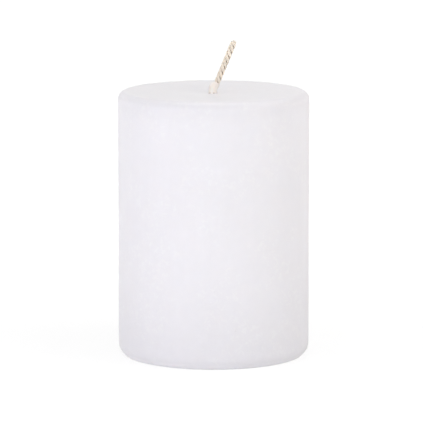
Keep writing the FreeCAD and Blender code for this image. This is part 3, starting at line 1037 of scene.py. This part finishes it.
# %% Plant loose fibres
def make_fibres(tree, given, yarns, from_centre, height):
    outermost = calculate("GREATER_THAN", from_centre, 0.85 * MM)
    bare = calculate("GREATER_THAN", height, (SLEEVE_TOP + 0.3) * MM)
    roots = place(tree, "GeometryNodeDistributePointsOnFaces",
                  {"Mesh": yarns, "Selection": outermost * bare,
                   "Density": given["Fibres Per Area"], "Seed": given["Seed"]})
    bow = place(tree, "GeometryNodeCurveQuadraticBezier",
                {"Resolution": 6, "Start": (0.0, 0.0, 0.0), "Middle": (0.00008, 0.0, 0.00028),
                 "End": (0.0005, 0.0001, 0.0003)})
    hair = place(tree, "GeometryNodeCurvePrimitiveCircle",
                 {"Resolution": 3, "Radius": 0.011 * MM})
    fibre = place(tree, "GeometryNodeCurveToMesh",
                  {"Curve": out(bow), "Profile Curve": out(hair), "Fill Caps": True})
    spin = point(0.0, 0.0, random_number(tree, 0.0, math.tau, Seed=5))
    twist = place(tree, "FunctionNodeRotateRotation",
                  {"Rotation": out(roots, "Rotation"), "Rotate By": spin},
                  rotation_space="LOCAL")
    fuzz = place(tree, "GeometryNodeInstanceOnPoints",
                 {"Points": out(roots), "Instance": out(fibre), "Rotation": out(twist),
                  "Scale": random_number(tree, 0.3, 0.9, Seed=9)})
    return out(place(tree, "GeometryNodeRealizeInstances", {0: out(fuzz)}))


# %% [markdown]
# ## Light and dark on the wick
# The gaps between the plies are painted dark, as shade, only on the side that the wick leans to,
# away from the main light.  The tree stores how far out a point is and how far it lies on that
# side while the wick is still upright, because there both are simple to say, and then leans it over.

# %% The ply tree
def make_ply_tree():
    takes = {"Steps": "count", "Yarns": "count", "Seed": "count",
             **numbers("Ply Angle", "Lay", "Ply Offset", "Pressed Wide", "Yarn Radius",
                       "Yarn Offset", "Yarn Lay", "Heart Radius", "Heart Offset",
                       "Heart Inwards", "Spring", "Fibres Per Area")}
    tree, given, end = new_tree("laid_ply", takes)
    strands = make_strands(tree, given)
    strand = out(place(tree, "GeometryNodeInputNamedAttribute", {"Name": "strand"},
                       data_type="FLOAT"))
    is_yarn = calculate("GREATER_THAN", strand, 1.5)
    share = out(place(tree, "GeometryNodeSplineParameter"), "Factor")
    uneven = random_number(tree, 0.0, 0.25 * MM, ID=calculate("ROUND", strand),
                           Seed=given["Seed"])
    top = WICK_TIP * MM - uneven
    height = share * (top - WICK_FOOT * MM) + WICK_FOOT * MM
    wobble_at = point(height * 900.0, strand * 7.0, given["Seed"] * 3.1)
    wobble = noise(wobble_at, 1.0, 1.0) * 0.05 * MM
    wound = moved(strands, Position=wind(given, strand, is_yarn, height, wobble))
    plump = noise(wobble_at, 2.5, 1.0) * 0.16 + 1.0
    yarns = make_yarns(tree, given, wound, is_yarn, share, height, plump)

    here = own_place(tree)
    x, y, z = split(here)
    from_centre = reach(x, y)
    joined = place(tree, "GeometryNodeJoinGeometry", {0: yarns})
    feed(joined.inputs[0], make_fibres(tree, given, yarns, from_centre, z))
    deep = marked(out(joined), "from_centre", from_centre / pinched(z) / MM)
    # Painted shade: the side of the wick away from the main light, where the gaps are painted dark.
    painted_shade_side = fade(x, -0.3 * MM, 0.35 * MM)
    painted_shade_side = painted_shade_side * fade(z, (WICK_TIP - 0.6) * MM, (WICK_TIP - 3.0) * MM)
    sided = marked(deep, "painted_shade_side", painted_shade_side)
    finish_tree(given, end, moved(sided, Position=use(lean_with_wick, Upright=here)))
    return tree


laid_ply = make_ply_tree()

# %% Lay the three plies
PLY_RADIUS = 0.488
PLY_OFFSET = WICK_RADIUS - PLY_RADIUS
YARN_RADIUS = 0.150
FIRST_PLY = math.radians(-14.0)
plies = []
for k in range(3):
    ply = add_object(f"cotton_ply_{k + 1}", bpy.data.meshes.new("laid_ply"))
    grow(ply, laid_ply, {
        "Ply Angle": FIRST_PLY + k * math.tau / 3, "Steps": 500, "Lay": WICK_LAY * MM,
        "Ply Offset": PLY_OFFSET * MM, "Pressed Wide": 1.70, "Yarns": 15,
        "Yarn Radius": YARN_RADIUS * MM, "Yarn Offset": (PLY_RADIUS - YARN_RADIUS) * MM,
        "Yarn Lay": 2.6 * MM, "Heart Radius": 0.32 * MM, "Heart Offset": 0.30 * MM,
        "Heart Inwards": 0.09 * MM, "Spring": 0.11 * MM, "Fibres Per Area": 350000.0,
        "Seed": 11 + k, "Material": waxed_cotton})
    plies.append(ply)

# %% [markdown]
# ## Riding on the frame
# Each dressed piece takes the place of its CAD node and moves with the candle's one body.

# %% Ride and replace
PIECES = [
    (coat, "overdip_coat", "overdip_wax"),
    (core, "wax_core", "pressed_wax"),
    (sustainer, "wick_sustainer", "tinplate"),
    (plies[0], "wick_ply_1", "waxed_cotton"),
    (plies[1], "wick_ply_2", "waxed_cotton"),
    (plies[2], "wick_ply_3", "waxed_cotton"),
]
for piece, node, slot in PIECES:
    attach(piece, "root")
    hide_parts(node)

# %% [markdown]
# ## The studio
# White wax shows its shape only through small steps of tone, so the light is soft and comes from
# many sides.  Seven panels stand in a ring round the candle, level with its top face, and are
# strongest in front and to the left.  They are cool on the left and warmer on the right.  Two
# lamps stand high at its sides, a broad one hangs overhead and one lights the back from the
# left.  The floor and the world look white to the camera and in reflections, but what they send
# onto the candle is weaker, so the wax keeps its own tone.

# %% Floor and world
def looked_at(tree):
    """1 for rays from the camera and from shiny surfaces, 0 for the light on the candle."""
    rays = place(tree, "ShaderNodeLightPath")
    return calculate("MAXIMUM", out(rays, "Is Camera Ray"), out(rays, "Is Glossy Ray"))


def make_floor_paper():
    material = bpy.data.materials.new("white_paper")
    material.use_nodes = True
    tree = material.node_tree
    tree.nodes.clear()
    seen = looked_at(tree)
    colour = tint(seen, (0.85, 0.85, 0.85), (0.25, 0.25, 0.25))
    paper = place(tree, "ShaderNodeBsdfDiffuse", {"Color": colour})
    x, y, z = split(out(place(tree, "ShaderNodeTexCoord"), "Object"))
    far = fade(reach(x, y), 0.05, 0.30)
    glow = place(tree, "ShaderNodeEmission",
                 {"Color": (1.0, 1.0, 1.0, 1.0), "Strength": seen * (far * 0.2 + 0.80)})
    both = place(tree, "ShaderNodeAddShader", {0: out(paper), 1: out(glow)})
    place(tree, "ShaderNodeOutputMaterial", {"Surface": out(both)})
    return material


floor_mesh = bpy.data.meshes.new("studio_floor")
floor_mesh.from_pydata([(-6, -6, 0), (6, -6, 0), (6, 6, 0), (-6, 6, 0)], [], [(0, 1, 2, 3)])
floor_mesh.materials.append(make_floor_paper())
studio_floor = add_object("studio_floor", floor_mesh)
studio_floor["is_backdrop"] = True

AMBIENT = 0.10
world = bpy.data.worlds.new("studio_world")
bpy.context.scene.world = world
world.use_nodes = True
sky = next(n for n in world.node_tree.nodes if n.type == "BACKGROUND")
sky.inputs["Color"].default_value = (1.0, 1.0, 1.0, 1.0)
feed(sky.inputs["Strength"], looked_at(world.node_tree) * (1.0 - AMBIENT) + AMBIENT)


# %% Lamps
def stand_and_aim(thing, stand, target):
    """Puts a lamp or the camera at a place and turns it towards another."""
    thing.location = stand
    thing.rotation_mode = "QUATERNION"
    thing.rotation_quaternion = (Vector(target) - Vector(stand)).to_track_quat("-Z", "Y")


def soft_panel(name, stand, target, width, height, watts, colour):
    """A soft rectangular lamp that shines on the candle and doesn't show itself."""
    data = bpy.data.lights.new(name, "AREA")
    data.shape = "RECTANGLE"
    data.size = width
    data.size_y = height
    data.energy = watts
    data.color = colour
    lamp = add_object(name, data)
    stand_and_aim(lamp, stand, target)
    lamp.visible_camera = False


PANEL_DISTANCE = 0.42
PANEL_HEIGHT = 0.10
PANELS = [
    (-120, 0.065, (0.973, 0.982, 1.000)),
    (-70, 0.272, (0.995, 0.972, 1.000)),
    (-45, 0.336, (0.969, 0.955, 1.000)),
    (0, 0.340, (0.934, 0.967, 1.000)),
    (45, 0.267, (1.000, 0.980, 0.958)),
    (90, 0.026, (1.000, 0.990, 0.980)),
    (120, 0.101, (1.000, 0.950, 0.925)),
]
AIM = (0, 0, 0.075)
for bearing, watts, colour in PANELS:
    angle = math.radians(bearing)
    stand = (PANEL_DISTANCE * math.sin(angle), -PANEL_DISTANCE * math.cos(angle), PANEL_HEIGHT)
    soft_panel(f"panel_{bearing}", stand, AIM, 0.26, 0.16, watts, colour)

MIDDLE = (0, 0, TOP_FACE / 2 * MM)
soft_panel("high_left", (-0.376, -0.137, 0.42), MIDDLE, 0.3, 0.2, 0.13, (1.0, 1.0, 1.0))
soft_panel("high_right", (0.376, -0.137, 0.42), MIDDLE, 0.3, 0.2, 0.70, (1.0, 0.958, 0.923))
soft_panel("overhead", (0.0, 0.1, 1.1), (0, 0, 0.1), 0.9, 0.9, 5.75, (1.0, 0.999, 0.990))
soft_panel("back_left", (-0.7, 0.7, 0.6), MIDDLE, 0.7, 0.7, 0.85, (0.982, 0.984, 1.0))

# %% [markdown]
# ## The camera
# A long lens from a little above keeps the candle's sides upright and shows the top face as a
# narrow ellipse.

# %% Camera
CAMERA_HEIGHT = math.radians(9.156)
CAMERA_DISTANCE = 1.335
camera_data = bpy.data.cameras.new("camera")
camera_data.sensor_width = 36.0
camera_data.lens = 300.8
camera_data.clip_start = 0.05
camera_data.clip_end = 50.0
camera = add_object("camera", camera_data)
back = Vector((0, -math.cos(CAMERA_HEIGHT), math.sin(CAMERA_HEIGHT)))
stand_and_aim(camera, Vector(MIDDLE) + back * CAMERA_DISTANCE, (-0.81 * MM, 0, 54.0 * MM))
bpy.context.scene.camera = camera
bpy.context.scene.view_settings.view_transform = "Standard"

# %% [markdown]
# ## Sizes
# The last cell notes the CAD box and the dressed box, to be compared.

# %% Write the sizes and finish
dressed_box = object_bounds()
for name, box in (("CAD box", cad_box), ("dressed box", dressed_box)):
    print(name, [tuple(round(v / MM, 2) for v in corner) for corner in box])
